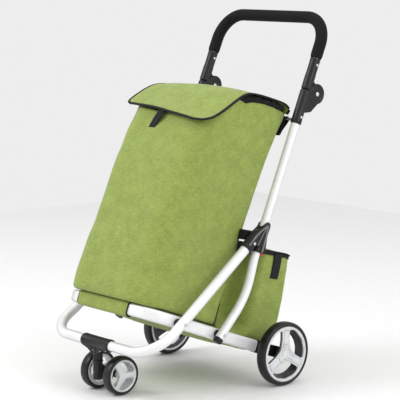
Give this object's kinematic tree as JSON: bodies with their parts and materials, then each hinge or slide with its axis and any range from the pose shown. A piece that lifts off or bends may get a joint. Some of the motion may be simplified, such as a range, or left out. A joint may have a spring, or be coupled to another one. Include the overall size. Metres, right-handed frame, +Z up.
{
  "type": "shopping trolley",
  "caption": "Folding wheeled shopping trolley: leaning tube frame with folding push handle, fabric bag with flap, rear pocket, large rear wheels and a swivelling twin caster.",
  "frame": {"origin": "on the floor, under the middle of the bounding box", "axes": "+X to the trolley's right as seen from the front caster, +Y towards the pushing handle and rear wheels, +Z up"},
  "size_m": [0.5212, 0.6786, 1.039],
  "materials": {
    "tube_aluminium": "satin anodised, almost white",
    "black_plastic": "satin moulded nylon",
    "grip_foam": "matt foam sleeve",
    "tyre_rubber": "matt",
    "rim_silver": "silver paint",
    "zinc_steel": "zinc plated",
    "button_red": "satin",
    "bag_fabric": "heathered lime green weave",
    "trim_fabric": "black binding tape and webbing",
    "board_plastic": "matt"
  },
  "bodies": {
    "platform": {"platform_tube": "tube_aluminium", "platform_cradle": "bag_fabric", "base_board": "board_plastic", "rear_axle": "zinc_steel", "axle_bracket_right": "black_plastic", "axle_bracket_left": "black_plastic", "leg_spacer_right": "black_plastic", "leg_spacer_left": "black_plastic", "main_spacer_right": "black_plastic", "main_spacer_left": "black_plastic"},
    "main_frame": {"main_tube_right": "tube_aluminium", "main_tube_left": "tube_aluminium", "main_tube_cap_right": "black_plastic", "main_tube_cap_left": "black_plastic", "main_pivot_rivet_right": "zinc_steel", "main_pivot_rivet_left": "zinc_steel", "lower_stem_right": "black_plastic", "lower_stem_left": "black_plastic", "hinge_pin_right": "zinc_steel", "hinge_pin_left": "zinc_steel", "pocket_strap_right": "trim_fabric", "pocket_strap_left": "trim_fabric", "bag_cross_rod": "zinc_steel", "bag_shell": "bag_fabric", "bag_collar": "trim_fabric", "front_tab": "trim_fabric", "rear_pocket": "bag_fabric"},
    "handle": {"upper_stem_right": "black_plastic", "upper_stem_left": "black_plastic", "stem_rivet_right": "zinc_steel", "stem_rivet_left": "zinc_steel", "handle_tube": "tube_aluminium", "grip_foam": "grip_foam"},
    "slide_brackets": {"bracket_right": "black_plastic", "bracket_left": "black_plastic", "leg_pivot_rivet_right": "zinc_steel", "leg_pivot_rivet_left": "zinc_steel"},
    "release_button_right": {"release_button_right": "button_red"},
    "release_button_left": {"release_button_left": "button_red"},
    "front_frame": {"front_frame_tube": "tube_aluminium", "platform_rivet_right": "zinc_steel", "platform_rivet_left": "zinc_steel", "caster_clamp": "black_plastic"},
    "caster_fork": {"caster_fork": "black_plastic", "caster_axle": "zinc_steel"},
    "caster_wheel_right": {"caster_tyre_right": "tyre_rubber", "caster_rim_right": "rim_silver"},
    "caster_wheel_left": {"caster_tyre_left": "tyre_rubber", "caster_rim_left": "rim_silver"},
    "rear_wheel_right": {"rear_tyre_right": "tyre_rubber", "rear_rim_right": "rim_silver", "rear_hub_cap_right": "rim_silver"},
    "rear_wheel_left": {"rear_tyre_left": "tyre_rubber", "rear_rim_left": "rim_silver", "rear_hub_cap_left": "rim_silver"},
    "flap": {"bag_flap": "bag_fabric"},
    "pocket_lid": {"pocket_lid": "bag_fabric", "pocket_tab": "trim_fabric"}
  },
  "joints": [
    {"name": "frame_fold", "type": "hinge", "parent": "platform", "child": "main_frame", "pos_m": [0, -0.06146, 0.165], "axis": [1, 0, 0], "range_deg": [0, 52], "deforming": ["bag_shell"]},
    {"name": "bracket_slide", "type": "slide", "parent": "main_frame", "child": "slide_brackets", "axis": [0, 0.3778, 0.9259], "range_m": [0, 0.148]},
    {"name": "leg_pivot", "type": "hinge", "parent": "slide_brackets", "child": "front_frame", "pos_m": [0, 0.03754, 0.409], "axis": [1, 0, 0], "range_deg": [0, 10.5]},
    {"name": "release_press_right", "type": "slide", "parent": "slide_brackets", "child": "release_button_right", "axis": [0, 0.3778, 0.9259], "range_m": [0, 0.003], "stiffness_N_per_m": 600, "springref_m": -0.003},
    {"name": "release_press_left", "type": "slide", "parent": "slide_brackets", "child": "release_button_left", "axis": [0, 0.3778, 0.9259], "range_m": [0, 0.003], "stiffness_N_per_m": 600, "springref_m": -0.003},
    {"name": "caster_swivel", "type": "hinge", "parent": "front_frame", "child": "caster_fork", "pos_m": [0, -0.32046, 0.09], "axis": [0, 0, 1], "continuous": true},
    {"name": "caster_spin_right", "type": "hinge", "parent": "caster_fork", "child": "caster_wheel_right", "pos_m": [0, -0.28046, 0.0536], "axis": [1, 0, 0], "continuous": true},
    {"name": "caster_spin_left", "type": "hinge", "parent": "caster_fork", "child": "caster_wheel_left", "pos_m": [0, -0.28046, 0.0536], "axis": [1, 0, 0], "continuous": true},
    {"name": "rear_spin_right", "type": "hinge", "parent": "platform", "child": "rear_wheel_right", "pos_m": [0, 0.14354, 0.09], "axis": [1, 0, 0], "continuous": true},
    {"name": "rear_spin_left", "type": "hinge", "parent": "platform", "child": "rear_wheel_left", "pos_m": [0, 0.14354, 0.09], "axis": [1, 0, 0], "continuous": true},
    {"name": "handle_fold", "type": "hinge", "parent": "main_frame", "child": "handle", "pos_m": [0, 0.27254, 0.81], "axis": [-1, 0, 0], "range_deg": [0, 175]},
    {"name": "flap_lift", "type": "hinge", "parent": "main_frame", "child": "flap", "pos_m": [0, 0.20154, 0.775], "axis": [-1, 0, 0], "range_deg": [0, 95]},
    {"name": "pocket_lid_lift", "type": "hinge", "parent": "main_frame", "child": "pocket_lid", "pos_m": [0, 0.04954, 0.3852], "axis": [1, 0, 0], "range_deg": [0, 65]}
  ],
  "couplings": [
    {"joint": "bracket_slide", "follows": "frame_fold", "m_per_rad": 0.16181},
    {"joint": "leg_pivot", "follows": "frame_fold", "ratio": 0.19834}
  ]
}
